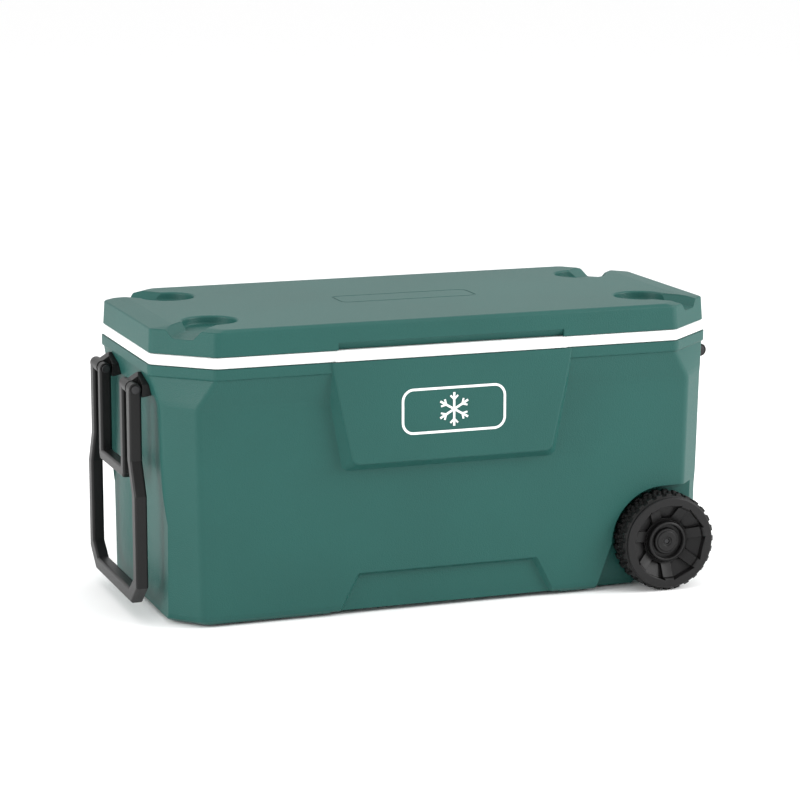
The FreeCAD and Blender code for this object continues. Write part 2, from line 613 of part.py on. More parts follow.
# ---- handles -------------------------------------------------------------------------------------
def bail(half_top, half_low, arm, depth, bottom, jog, corner):
    """A U-shaped handle that hangs from the pivot at the tow end; jog and corner are pairs of sizes."""
    x0 = -PIVOT_X - depth / 2
    corner_y, corner_z = corner

    def side(inward):
        """One side of the U from the pivot down: outside the arm, or set inward to its inner edge."""
        shrink = inward * (math.sqrt(2) - 1)
        foot = bottom + inward
        rows = [(half_top - inward, PIVOT_Z), (half_top - inward, jog[0]), (half_low - inward, jog[1])]
        rows += [(half_low - inward, foot + max(corner_z - shrink, 1.0))]
        rows += [(half_low - inward - max(corner_y - shrink, 1.0), foot)]
        return rows if half_low > half_top else rows[:1] + rows[3:]

    outer, inner = side(0.0), side(arm)
    body = yz_prism(outer + [(-y, z) for y, z in reversed(outer)], x0, x0 + depth)
    gap = [(inner[0][0], PIVOT_Z + 1)] + inner[1:]
    gap += [(-y, z) for y, z in reversed(gap)]
    body = body.cut(yz_prism(gap, x0 - 1, x0 + depth + 1))
    long_edges = [e for e in body.Edges if abs(e.Vertexes[0].X - e.Vertexes[-1].X) < 0.01
                  and not all(abs(v.Z - PIVOT_Z) < 0.01 for v in e.Vertexes)]
    return body.makeFillet(HANDLE_ROUND, long_edges)


def eye(y0, y1, radius):
    """The round end of a handle's arm, on the pivot."""
    return rod_y(radius, y0, y1, -PIVOT_X, PIVOT_Z)


def with_eyes(body, half, arm, depth):
    """Adds an eye at the top of both arms, and bores them for the pins."""
    r = depth / 2
    parts = [body]
    for y0, y1 in ((half - arm, half), (-half, -half + arm)):
        end = eye(y0, y1, r)
        rims = [e for e in end.Edges if len(e.Vertexes) == 1]
        parts.append(end.makeFillet(1.8, rims))
    solid = fuse(parts)
    return solid.cut(rod_y(PIN_RADIUS + PIN_RUN, -half - 5, half + 5, -PIVOT_X, PIVOT_Z))


def tow_handle():
    jog, corner = (TOW_JOG_TOP_Z, TOW_JOG_LOW_Z), (TOW_CORNER_Y, TOW_CORNER_Z)
    body = bail(TOW_HALF_TOP, TOW_HALF_LOW, TOW_ARM, TOW_DEPTH, TOW_GROUND_GAP, jog, corner)
    return with_eyes(body, TOW_HALF_TOP, TOW_ARM, TOW_DEPTH)


def carry_handle():
    no_jog, corner = (PIVOT_Z, PIVOT_Z), (CARRY_CORNER, CARRY_CORNER)
    body = bail(CARRY_HALF, CARRY_HALF, CARRY_ARM, CARRY_DEPTH, CARRY_BOTTOM_Z, no_jog, corner)
    return with_eyes(body, CARRY_HALF, CARRY_ARM, CARRY_DEPTH)


def cheek_span():
    """The bracket's cheek fills the gap between the two handles' arms."""
    return CARRY_HALF + 1.0, TOW_HALF_TOP - TOW_ARM - 1.0


def slope_x(z):
    """The end wall's sloped face: how far out it is at a height between its foot and the rim band."""
    share = (z - (WALL_TOP + 7.0)) / (RIM_LOW - 1.5 - WALL_TOP - 7.0)
    inset = WALL_INSET_TOP - 2.4 + (RIM_STEP - WALL_INSET_TOP + 2.4) * share
    return HALF_L - inset


def handle_bracket():
    """The +Y bracket of the tow end: a ridged wedge on the sloped wall with one cheek between the arms."""
    y0, y1 = CARRY_HALF - CARRY_ARM, TOW_HALF_TOP
    c0, c1 = cheek_span()
    ridge_y = (c0 + c1) / 2
    front = PIVOT_X - TOW_DEPTH / 2 - 1.0
    peak, edge, low = RIM_LOW - BRACKET_RIDGE_DROP, RIM_LOW - BRACKET_SIDE_DROP, WALL_TOP + 9.0
    foot_x = -slope_x(low)
    wedge = [(-slope_x(peak) - FIT_GAP, peak), (foot_x - FIT_GAP, low), (foot_x - 6.0, low - 1.0)]
    wedge += [(-front, PIVOT_Z - 13.0), (-front, peak - 3.0), (-front + 2.0, peak)]
    roof = [(y0, low - 20), (y0, edge), (ridge_y - 2, peak), (ridge_y + 2, peak), (y1, edge), (y1, low - 20)]
    block = xz_prism(wedge, y0, y1).common(yz_prism(roof, -PIVOT_X, -HALF_L + WALL_INSET_BOTTOM))
    lug_r = TOW_DEPTH / 2 + 0.6
    arm = xz_prism([(-PIVOT_X, PIVOT_Z - lug_r), (-PIVOT_X, PIVOT_Z + lug_r), (-front, peak - 4.0),
                    (-front + 1, peak - 4.0), (-front + 1, PIVOT_Z - lug_r)], c0, c1)
    lug = rod_y(lug_r, c0, c1, -PIVOT_X, PIVOT_Z)
    solid = fuse([block, arm, lug])
    return solid.cut(rod_y(PIN_RADIUS, c0 - 1, c1 + 1, -PIVOT_X, PIVOT_Z))


def handle_pin(half_outer, half_inner):
    """A headed pin through the arms and the cheek, with a push-on retaining ring inside."""
    start, end = half_inner - 1.0 - PIN_HEAD_T, half_outer + 1.0
    pin = rod_y(PIN_RADIUS, start, end, -PIVOT_X, PIVOT_Z)
    heads = [rod_y(PIN_HEAD_R, end, end + PIN_HEAD_T, -PIVOT_X, PIVOT_Z),
             rod_y(PIN_HEAD_R, start - PIN_HEAD_T + 1.4, start + 1.4, -PIVOT_X, PIVOT_Z)]
    heads = [h.makeFillet(0.8, [e for e in h.Edges if len(e.Vertexes) == 1]) for h in heads]
    return fuse([pin] + heads)


def bracket_screw(y, z):
    """A countersunk screw through the bracket's wedge into the tub."""
    face = -PIVOT_X + TOW_DEPTH / 2 + 1.0
    shank_end = SCREW_LENGTH + 8.0
    profile = [(0, 0), (SCREW_HEAD, 0), (SCREW_SHANK, SCREW_CONE), (SCREW_SHANK, shank_end)]
    profile.append((0, shank_end + 2.0))
    return turned(profile, V(face, y, z), V(1, 0, 0), V(0, 1, 0))


def bracket_screws():
    """Two screws in each bracket, at both ends of the tub."""
    z = PIVOT_Z - 5.0
    half_gap = 7.0
    ys = (CARRY_HALF - CARRY_ARM + half_gap, TOW_HALF_TOP - half_gap)
    screws = [bracket_screw(sign * y, z) for y in ys for sign in (-1, 1)]
    return screws + [mirrored_x(s) for s in screws]


# ---- hinges --------------------------------------------------------------------------------------
def hinge_base(x):
    """Leaf on the tub's back, with a knuckle at each end of the pin."""
    y0, y1 = HALF_W + FIT_GAP, HALF_W + FIT_GAP + HINGE_PLATE
    low, high = RIM_LOW + 1.0, HINGE_Z - KNUCKLE_R - HINGE_GAP
    third = HINGE_WIDTH / 3
    plate = box(x - HINGE_WIDTH / 2, x + HINGE_WIDTH / 2, y0, y1, low, high)
    low_corners = [e for e in plate.Edges if abs(e.tangentAt(0).y) > 0.9 and e.CenterOfMass.z < low + 1]
    plate = plate.makeFillet(4.0, low_corners)
    parts = [plate]
    for start in (x - HINGE_WIDTH / 2, x + HINGE_WIDTH / 2 - third + HINGE_GAP):
        end = start + third - HINGE_GAP
        parts.append(rod_x(KNUCKLE_R, start, end, HINGE_Y, HINGE_Z))
        under = HINGE_Z - KNUCKLE_R
        web = [(y0, high - 1), (y0, HINGE_Z), (HINGE_Y, HINGE_Z), (HINGE_Y, under), (y1, high - 1)]
        parts.append(yz_prism(web, start, end))
    return fuse(parts).cut([rod_x(HINGE_PIN_R, x - HINGE_WIDTH, x + HINGE_WIDTH, HINGE_Y, HINGE_Z)])


def lid_side_y(z):
    """The lid's back face at a height, with its draft."""
    share = (z - LID_EDGE) / (LID_HEIGHT - LID_EDGE_DROP)
    return HALF_W - BAND_INSET - LID_DRAFT * share


def hinge_leaf(x):
    """Leaf on the lid's back, with the middle knuckle."""
    low, high = LID_EDGE + 2.0, LID_TOP - LID_EDGE_DROP - 5.0
    third = HINGE_WIDTH / 3
    start, end = x - third / 2, x + third / 2
    y_low, y_high = lid_side_y(low) + FIT_GAP, lid_side_y(high) + FIT_GAP
    outline = [(y_low, low), (y_high, high), (y_high + HINGE_PLATE, high), (y_low + HINGE_PLATE, low)]
    plate = yz_prism(outline, x - HINGE_WIDTH / 2, x + HINGE_WIDTH / 2)
    web = [(y_low + 1, low), (y_low + 1, low + 8), (HINGE_Y, HINGE_Z + KNUCKLE_R), (HINGE_Y, low)]
    reach = yz_prism(web, start, end)
    knuckle = rod_x(KNUCKLE_R, start, end, HINGE_Y, HINGE_Z)
    past, clear = HINGE_WIDTH / 2 + 1.0, HINGE_GAP / 2
    spans = ((x - past, start - clear), (end + clear, x + past))
    cut_back = [rod_x(KNUCKLE_R + HINGE_GAP, x0, x1, HINGE_Y, HINGE_Z) for x0, x1 in spans]
    bore = rod_x(HINGE_PIN_R + HINGE_RUN, x - HINGE_WIDTH, x + HINGE_WIDTH, HINGE_Y, HINGE_Z)
    return fuse([plate, reach, knuckle]).cut(cut_back + [bore])


def hinge_pin(x):
    return rod_x(HINGE_PIN_R, x - HINGE_WIDTH / 2 - 1, x + HINGE_WIDTH / 2 + 1, HINGE_Y, HINGE_Z)


def hinge_screw(x, y, z):
    """A pan-head screw driven in from the back."""
    high = SCREW_CONE
    profile = [(0, high), (SCREW_HEAD * 0.6, high), (SCREW_HEAD, 1.0), (SCREW_HEAD, 0), (SCREW_SHANK, 0)]
    profile += [(SCREW_SHANK, -SCREW_LENGTH), (0, -SCREW_LENGTH - 2.0)]
    return turned(profile, V(x, y, z), V(0, 1, 0), V(1, 0, 0))


def hinge_screws(y, z):
    spread = HINGE_WIDTH / 2 - 10.0
    return [hinge_screw(x + side * spread, y, z) for x in HINGE_X for side in (-1, 1)]


def base_screws():
    return hinge_screws(HALF_W + FIT_GAP + HINGE_PLATE, (RIM_LOW + RIM_TOP) / 2 + 1.0)


def leaf_screws():
    z = LID_EDGE + LID_HEIGHT * 0.5
    return hinge_screws(lid_side_y(z) + FIT_GAP + HINGE_PLATE + 0.1, z)


# ---- lid -----------------------------------------------------------------------------------------
def lid_block(skin, low=LID_EDGE):
    """The lid's outside, set in by a skin, with its cup holders, drain channels and finger scoop."""
    leg_x, leg_y = rim_legs(BAND_INSET + skin)
    crease = LID_TOP - LID_EDGE_DROP
    rounding = max(CORNER_ROUND - skin, 2.0)
    upper = BAND_INSET + LID_DRAFT + skin
    rows = [(low, BAND_INSET + skin, BAND_INSET + skin), (crease - skin, upper, upper),
            (crease + 1.6 - skin, upper + 2.0, upper + 0.9),
            (LID_TOP - 0.8 - skin, upper + LID_BEVEL_END - 8.0, upper + LID_BEVEL_SIDE - 2.4),
            (LID_TOP - skin, upper + LID_BEVEL_END, upper + LID_BEVEL_SIDE)]
    wires = []
    for z, inset_x, inset_y in rows:
        shrink = max(inset_x - upper, 0.0)
        wires.append(octagon(inset_x, inset_y, z, leg_x - 0.62 * shrink, leg_y - 0.15 * shrink, rounding))
    body = loft(wires)
    cups = [cup_holder(sx * CUP_X, sy * CUP_Y, skin) for sx in (-1, 1) for sy in (-1, 1)]
    channels = [drain_channel(sx, sy, skin) for sx in (-1, 1) for sy in (-1, 1)]
    return body.cut(cups + channels + [finger_scoop(skin)])


def cup_holder(x, y, skin):
    """A round well with a soft lip and a flat floor."""
    r, top, floor = CUP_RADIUS + skin, -skin, -CUP_DEPTH - skin
    lip = [(r + 1.5, top + 5), (r + 1.5, top), (r, top - 0.5), (r - 1.2, top - 1.5), (r - 1.8, top - 3.0)]
    foot = [(r - 2.6, floor + 3), (r - 3.8, floor + 1.0), (r - 6.0, floor)]
    profile = [(0, top + 5)] + lip + foot + [(0, floor)]
    return turned(profile, V(x, y, LID_TOP), V(0, 0, 1), V(1, 0, 0))


def drain_channel(sx, sy, skin):
    """A trough from a cup holder out through the middle of its corner facet."""
    facet = V(HALF_L - RIM_LEG_X / 2, HALF_W - RIM_LEG_Y / 2, 0)
    centre = V(CUP_X, CUP_Y, 0)
    along = V(RIM_LEG_Y, RIM_LEG_X, 0).normalize()
    across = V(-along.y, along.x, 0)
    start = facet - along * (facet - centre).dot(along)
    near, far = start + along * (CUP_RADIUS * 0.55), facet + along * 25.0
    crease = LID_TOP - LID_EDGE_DROP
    floors = (LID_TOP - CUP_DEPTH + 1.5 - skin, crease - CHANNEL_DROP - skin)
    wires = []
    for place, floor in zip((near, far), floors):
        up = LID_TOP + 6.0
        run = (CHANNEL_HALF_TOP - CHANNEL_HALF_FLOOR) / CHANNEL_DROP
        half_up = CHANNEL_HALF_FLOOR + skin + run * (up - (crease - CHANNEL_DROP))
        rise = floor - (crease - CHANNEL_DROP - skin)
        half_floor = CHANNEL_HALF_FLOOR + skin + run * rise
        corners = [(-half_floor, floor), (half_floor, floor), (half_up, up), (-half_up, up)]
        wires.append(rounded_wire(corners, 5.0, lambda u, v, p=place: p + across * u + V(0, 0, v)))
    trough = loft(wires)
    if sx < 0:
        trough = mirrored_x(trough)
    if sy < 0:
        trough = mirrored_y(trough)
    return trough


def finger_scoop(skin):
    """The bevel under the lid's front edge that fingers lift by."""
    y = -HALF_W + BAND_INSET
    half = SCOOP_HALF + skin
    low, high = LID_EDGE - 2.0, LID_EDGE + SCOOP_HEIGHT + skin
    inner = y + SCOOP_DEPTH + skin * 1.4

    outline = [(y - 6, low), (inner, low), (inner, LID_EDGE), (y + 2.5 + skin, high - 4.0), (y - 1, high)]
    outline.append((y - 6, high))
    return yz_prism(outline, -half, half)


def lid_frame_groove():
    """A shallow engraved frame in the middle of the lid's top."""
    top, sink = LID_TOP + 1.0, LID_TOP - FRAME_SINK
    outer = loft([rectangle(FRAME_LENGTH / 2, FRAME_WIDTH / 2, z, 14.0) for z in (sink, top)])
    inner_x, inner_y = FRAME_LENGTH / 2 - FRAME_LINE, FRAME_WIDTH / 2 - FRAME_LINE
    inner = loft([rectangle(inner_x, inner_y, z, 14.0 - FRAME_LINE) for z in (sink - 1, top + 1)])
    return outer.cut(inner)


def lid_inside():
    """The space under the lid's skin, open below: the foam and the lid's liner fill it."""
    return lid_block(SHELL_WALL, LID_EDGE - 1.0)


def lid_shell(screws):
    return lid_block(0.0).cut([lid_inside(), lid_frame_groove()] + screws)


def lid_tray(skin):
    """The plug that drops into the tub's mouth."""
    half_x, half_y = MOUTH_X - LID_PLUG_GAP - skin, MOUTH_Y - LID_PLUG_GAP - skin
    low = FLANGE_TOP - LID_PLUG_DEPTH + skin
    soft = 3.0
    r = CAVITY_ROUND - LID_PLUG_GAP - skin
    rows = ((low, soft), (low + soft, 0.0), (LID_EDGE + LINER_WALL, 0.0))
    return loft([rectangle(half_x - pinch, half_y - pinch, z, r - pinch) for z, pinch in rows])


def lid_liner():
    """White underside of the lid: a flat flange inside the skirt, and the plug."""
    inset = BAND_INSET + SHELL_WALL + FIT_GAP
    flange = ring_block(inset, LID_EDGE, LID_EDGE + LINER_WALL).cut(finger_scoop(SHELL_WALL + FIT_GAP))
    hollow = lid_tray(LINER_WALL)
    return flange.fuse(lid_tray(0.0)).cut(hollow)


def lid_foam(screws):
    above = box(-HALF_L, HALF_L, -HALF_W, HALF_W, LID_EDGE + LINER_WALL, LID_TOP + 10)
    return lid_inside().common(above).fuse(lid_tray(LINER_WALL)).cut(screws)


# ---- export --------------------------------------------------------------------------------------
def save(name, shape):
    """Writes one node as a STEP file, from one solid or a list of separate solids."""
    solids = [s for part in (shape if isinstance(shape, list) else [shape]) for s in part.Solids]
    whole = solids[0] if len(solids) == 1 else Part.makeCompound(solids)
    os.makedirs("parts", exist_ok=True)
    whole.exportStep(os.path.join("parts", name + ".step"))
    print(name, len(solids), "solids", round(sum(s.Volume for s in solids) / 1000.0, 1), "cm3",
          "valid" if whole.isValid() else "NOT VALID")


def main():
    tub_screws = bracket_screws() + base_screws()
    save("outer_shell", outer_shell(tub_screws))
    save("tub_foam", tub_foam(tub_screws))
    save("inner_liner", inner_liner())
    save("panel_badge", panel_badge())
    save("drain_tube", drain_tube())
    save("drain_gasket", drain_gasket())
    save("drain_stopper", drain_stopper())
    save("axle", axle())
    save("axle_sleeve", axle_sleeve())
    save("axle_washers", axle_washers())
    save("axle_end_screws", axle_end_screws())
    for name, place in (("front", lambda s: s), ("back", mirrored_y)):
        save("wheel_rim_" + name, place(wheel_rim()))
        save("tyre_" + name, place(tyre()))
        save("hub_cap_" + name, place(hub_cap()))
    save("tow_handle", tow_handle())
    save("carry_handle_tow_end", carry_handle())
    save("carry_handle_wheel_end", mirrored_x(carry_handle()))
    screws = bracket_screws()
    bracket = handle_bracket().cut(screws)
    long_pin = handle_pin(TOW_HALF_TOP, CARRY_HALF - CARRY_ARM)
    short_pin = handle_pin(TOW_HALF_TOP - TOW_ARM - 1.0, CARRY_HALF - CARRY_ARM)
    for side, flip in (("front", mirrored_y), ("back", lambda s: s)):
        save("bracket_tow_" + side, flip(bracket))
        save("bracket_wheel_" + side, mirrored_x(flip(bracket)))
        save("handle_pin_tow_" + side, flip(long_pin))
        save("handle_pin_wheel_" + side, mirrored_x(flip(short_pin)))
    save("bracket_screws", screws)
    for name, x in zip(("left", "middle", "right"), HINGE_X):
        save("hinge_base_" + name, hinge_base(x).cut(base_screws()))
        save("hinge_leaf_" + name, hinge_leaf(x).cut(leaf_screws()))
        save("hinge_pin_" + name, hinge_pin(x))
    save("hinge_base_screws", base_screws())
    save("hinge_leaf_screws", leaf_screws())
    save("lid_shell", lid_shell(leaf_screws()))
    save("lid_foam", lid_foam(leaf_screws()))
    save("lid_liner", lid_liner())


main()
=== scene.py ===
"""Looks of a wheeled cooler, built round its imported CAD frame.

The CAD nodes keep their shapes and get moulded-plastic, steel, foam and rubber finishes. The tyres are
made here, with the lugs of their tread, inside the CAD's own box.
"""

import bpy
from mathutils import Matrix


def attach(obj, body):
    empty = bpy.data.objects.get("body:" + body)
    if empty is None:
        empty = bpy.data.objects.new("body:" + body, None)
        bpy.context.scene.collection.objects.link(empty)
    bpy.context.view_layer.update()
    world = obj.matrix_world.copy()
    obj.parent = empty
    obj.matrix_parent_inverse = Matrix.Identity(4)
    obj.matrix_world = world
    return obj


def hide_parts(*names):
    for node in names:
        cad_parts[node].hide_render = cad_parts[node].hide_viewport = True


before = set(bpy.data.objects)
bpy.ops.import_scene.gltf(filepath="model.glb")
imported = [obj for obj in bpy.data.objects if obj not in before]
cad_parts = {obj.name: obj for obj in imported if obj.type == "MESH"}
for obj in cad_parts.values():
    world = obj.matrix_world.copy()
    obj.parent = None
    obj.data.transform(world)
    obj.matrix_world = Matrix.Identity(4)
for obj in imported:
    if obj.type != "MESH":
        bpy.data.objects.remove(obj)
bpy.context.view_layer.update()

import logging
import math
from dataclasses import dataclass
from enum import Enum

import bmesh
import bpy
from mathutils import Vector

LOG = logging.getLogger("cooler")
MM = 0.001


# Sockets of the nodes that name several alike, by their place
MIX_SHARE, MIX_FIRST, MIX_SECOND, MIX_RESULT = 0, 6, 7, 2
RANDOM_LEAST, RANDOM_MOST, RANDOM_RESULT = 2, 3, 1

# Where a node is drawn in its editor
NODE_PITCH, NODE_DROP, NODE_ROWS = 180, 40, 5


# ---- shader helpers ------------------------------------------------------------------------------
class Socket(Enum):
    """Kinds of socket a node group may have."""

    VALUE = "NodeSocketFloat"
    VECTOR = "NodeSocketVector"
    WHOLE = "NodeSocketInt"
    SHAPE = "NodeSocketGeometry"
    MATERIAL = "NodeSocketMaterial"


class Wiring:
    """Adds and joins nodes in one node tree, from left to right."""

    def __init__(self, tree: bpy.types.NodeTree) -> None:
        """Keeps the tree that the nodes go in.

        Args:
            tree: A shader or geometry node tree.
        """
        self.tree = tree
        self.column = 0

    def add(self, kind: str, links: dict | None = None, **settings: object) -> bpy.types.Node:
        """Adds a node.

        Args:
            kind: The node's type name.
            links: Input name or index to an output socket or a plain value.
            settings: Node properties to set before its inputs.

        Returns:
            The new node.
        """
        node = self.tree.nodes.new(kind)
        node.location = (NODE_PITCH * self.column, -NODE_DROP * (self.column % NODE_ROWS))
        self.column += 1
        for name, value in settings.items():
            setattr(node, name, value)
        for key, value in (links or {}).items():
            self.feed(node, key, value)
        return node

    def feed(self, node: bpy.types.Node, key: str | int, value: object) -> None:
        """Joins an output socket to one input of a node, or sets the input to a plain value."""
        if isinstance(value, bpy.types.NodeSocket):
            self.tree.links.new(value, node.inputs[key])
        else:
            node.inputs[key].default_value = value

    def maths(
        self, operation: str, first: object, second: object = 0.0, clamp: bool = False
    ) -> bpy.types.NodeSocket:
        """Adds a Math node and gives its output."""
        node = self.add("ShaderNodeMath", {0: first, 1: second}, operation=operation, use_clamp=clamp)
        return node.outputs[0]

    def spread(
        self, value: object, low: float, high: float, to_low: float, to_high: float
    ) -> bpy.types.NodeSocket:
        """Maps a value from one range onto another, clamped, and gives the output."""
        inputs = {"Value": value, "From Min": low, "From Max": high, "To Min": to_low, "To Max": to_high}
        return self.add("ShaderNodeMapRange", inputs).outputs["Result"]

    def mix(self, share: object, first: object, second: object) -> bpy.types.NodeSocket:
        """Mixes two colours by a share and gives the output."""
        links = {MIX_SHARE: share, MIX_FIRST: first, MIX_SECOND: second}
        return self.add("ShaderNodeMix", links, data_type="RGBA").outputs[MIX_RESULT]


def new_group(
    name: str, inputs: dict, outputs: dict
) -> tuple[bpy.types.NodeTree, Wiring, dict, bpy.types.Node]:
    """Starts a shader node group.

    Args:
        name: The group's name.
        inputs: Input name to its default value.
        outputs: Output name to its Socket kind.

    Returns:
        The tree, its wiring, the input sockets by name, and the output node.
    """
    tree = bpy.data.node_groups.new(name, "ShaderNodeTree")
    for key, value in inputs.items():
        socket = tree.interface.new_socket(key, in_out="INPUT", socket_type=Socket.VALUE.value)
        socket.default_value = value
    for key, kind in outputs.items():
        tree.interface.new_socket(key, in_out="OUTPUT", socket_type=kind.value)
    wiring = Wiring(tree)
    source = wiring.add("NodeGroupInput")
    sink = wiring.add("NodeGroupOutput")
    return tree, wiring, {key: source.outputs[key] for key in inputs}, sink


class Effects:
    """The shared surface effects, each a node group that is built once."""

    def __init__(self) -> None:
        """Builds every group."""
        self.grain = self._grain()
        self.wear = self._wear()
        self.tone = self._tone()
        self.brush = self._brush()

    def _grain(self) -> bpy.types.NodeTree:
        """A pebbled moulded grain: low round bumps of mixed size. Its output is a height from 0 to 1."""
        inputs = {"Pitch": 0.0018, "Softness": 0.6}
        tree, wire, given, sink = new_group("moulded_grain", inputs, {"Height": Socket.VALUE})
        place = wire.add("ShaderNodeTexCoord").outputs["Object"]
        scale = wire.maths("DIVIDE", 1.0, given["Pitch"])
        pebble = wire.add("ShaderNodeTexVoronoi", {"Vector": place, "Scale": scale}, feature="SMOOTH_F1")
        wire.tree.links.new(given["Softness"], pebble.inputs["Smoothness"])
        cloud = wire.add("ShaderNodeTexNoise", {"Vector": place, "Scale": scale, "Detail": 1.5})
        low = wire.maths("MULTIPLY", pebble.outputs["Distance"], -0.7)
        high = wire.maths("MULTIPLY", cloud.outputs["Fac"], 0.6)
        height = wire.maths("ADD", wire.maths("ADD", low, 0.7), high)
        tree.links.new(height, sink.inputs["Height"])
        return tree

    def _wear(self) -> bpy.types.NodeTree:
        """Handling wear along raised edges, broken up by noise. Gives a mask and a softened normal."""
        inputs = {"Reach": 0.0015, "Amount": 0.5}
        outputs = {"Mask": Socket.VALUE, "Normal": Socket.VECTOR}
        tree, wire, given, sink = new_group("edge_wear", inputs, outputs)
        place = wire.add("ShaderNodeTexCoord").outputs["Object"]
        soft = wire.add("ShaderNodeBevel", {"Radius": given["Reach"]}, samples=4)
        flat = wire.add("ShaderNodeNewGeometry").outputs["Normal"]
        dot = wire.add("ShaderNodeVectorMath", {0: soft.outputs["Normal"], 1: flat}, operation="DOT_PRODUCT")
        edge = wire.spread(dot.outputs["Value"], 0.995, 0.86, 0.0, 1.0)
        chips = wire.add("ShaderNodeTexNoise", {"Vector": place, "Scale": 90.0, "Detail": 4.0})
        broken = wire.spread(chips.outputs["Fac"], 0.42, 0.62, 0.0, 1.0)
        mask = wire.maths("MULTIPLY", wire.maths("MULTIPLY", edge, broken), given["Amount"], clamp=True)
        tree.links.new(mask, sink.inputs["Mask"])
        tree.links.new(soft.outputs["Normal"], sink.inputs["Normal"])
        return tree

    def _tone(self) -> bpy.types.NodeTree:
        """Slow changes of tone over a moulding, and fine specks. Both outputs are masks from 0 to 1."""
        inputs = {"Patch": 0.18, "Speck": 0.0011}
        outputs = {"Cloud": Socket.VALUE, "Specks": Socket.VALUE}
        tree, wire, given, sink = new_group("moulding_tone", inputs, outputs)
        place = wire.add("ShaderNodeTexCoord").outputs["Object"]
        wide = wire.maths("DIVIDE", 1.0, given["Patch"])
        fine = wire.maths("DIVIDE", 1.0, given["Speck"])
        cloud = wire.add("ShaderNodeTexNoise", {"Vector": place, "Scale": wide, "Detail": 3.0})
        specks = wire.add("ShaderNodeTexNoise", {"Vector": place, "Scale": fine, "Detail": 2.0})
        tree.links.new(wire.spread(cloud.outputs["Fac"], 0.3, 0.7, 0.0, 1.0), sink.inputs["Cloud"])
        tree.links.new(wire.spread(specks.outputs["Fac"], 0.35, 0.65, 0.0, 1.0), sink.inputs["Specks"])
        return tree

    def _brush(self) -> bpy.types.NodeTree:
        """Fine drawn lines in bright metal. Its output is a height from 0 to 1."""
        tree, wire, given, sink = new_group("drawn_lines", {"Pitch": 0.0004}, {"Height": Socket.VALUE})
        place = wire.add("ShaderNodeTexCoord").outputs["Object"]
        stretched = wire.add("ShaderNodeMapping", {"Vector": place, "Scale": (1.0, 0.06, 1.0)})
        scale = wire.maths("DIVIDE", 1.0, given["Pitch"])
        inputs = {"Vector": stretched.outputs[0], "Scale": scale, "Detail": 2.0}
        lines = wire.add("ShaderNodeTexNoise", inputs)
        tree.links.new(lines.outputs["Fac"], sink.inputs["Height"])
        return tree


def start_material(name: str) -> tuple[bpy.types.Material, Wiring, bpy.types.Node]:
    """Makes an empty material with a Principled shader wired to its output.

    Args:
        name: The material's name.

    Returns:
        The material, its wiring and the shader node.
    """
    material = bpy.data.materials.new(name)
    material.use_nodes = True
    material.node_tree.nodes.clear()
    wiring = Wiring(material.node_tree)
    shader = wiring.add("ShaderNodeBsdfPrincipled")
    wiring.add("ShaderNodeOutputMaterial", {"Surface": shader.outputs[0]})
    return material, wiring, shader


@dataclass(frozen=True)
class MouldedPlastic:
    """A moulded plastic with a pebbled grain, slow tone changes and pale rubbed edges.

    Lengths are in metres and colours are linear.
    """

    name: str
    colour: tuple[float, float, float]
    roughness: float = 0.5
    grain_pitch: float = 0.0018
    grain_depth: float = 0.15
    edge_reach: float = 0.0015
    edge_amount: float = 0.4
    edge_lift: float = 1.8
    tone_change: float = 0.08
    specular: float = 0.5

    def build(self, effects: Effects) -> bpy.types.Material:
        """Builds the material.

        Args:
            effects: The shared node groups.

        Returns:
            The material.
        """
        material, wire, shader = start_material(self.name)
        grain = wire.add("ShaderNodeGroup", node_tree=effects.grain)
        grain.inputs["Pitch"].default_value = self.grain_pitch
        wear = wire.add("ShaderNodeGroup", node_tree=effects.wear)
        wear.inputs["Reach"].default_value = self.edge_reach
        wear.inputs["Amount"].default_value = self.edge_amount
        tone = wire.add("ShaderNodeGroup", node_tree=effects.tone)
        base = (*self.colour, 1.0)
        deep = (*(c * (1.0 - self.tone_change) for c in self.colour), 1.0)
        pale = (*(min(c * self.edge_lift + 0.01, 1.0) for c in self.colour), 1.0)
        toned = wire.mix(tone.outputs["Cloud"], deep, base)
        speck_share = wire.maths("MULTIPLY", tone.outputs["Specks"], self.tone_change)
        specked = wire.mix(speck_share, toned, pale)
        worn = wire.mix(wear.outputs["Mask"], specked, pale)
        wire.tree.links.new(worn, shader.inputs["Base Color"])
        low, high = self.roughness - 0.06, self.roughness + 0.06
        rough = wire.spread(tone.outputs["Specks"], 0.0, 1.0, low, high)
        wire.tree.links.new(rough, shader.inputs["Roughness"])
        shader.inputs["Specular IOR Level"].default_value = self.specular
        inputs = {"Height": grain.outputs["Height"], "Normal": wear.outputs["Normal"]}
        bump = wire.add("ShaderNodeBump", inputs)
        bump.inputs["Strength"].default_value = self.grain_depth
        bump.inputs["Distance"].default_value = self.grain_pitch * 0.5
        wire.tree.links.new(bump.outputs["Normal"], shader.inputs["Normal"])
        return material


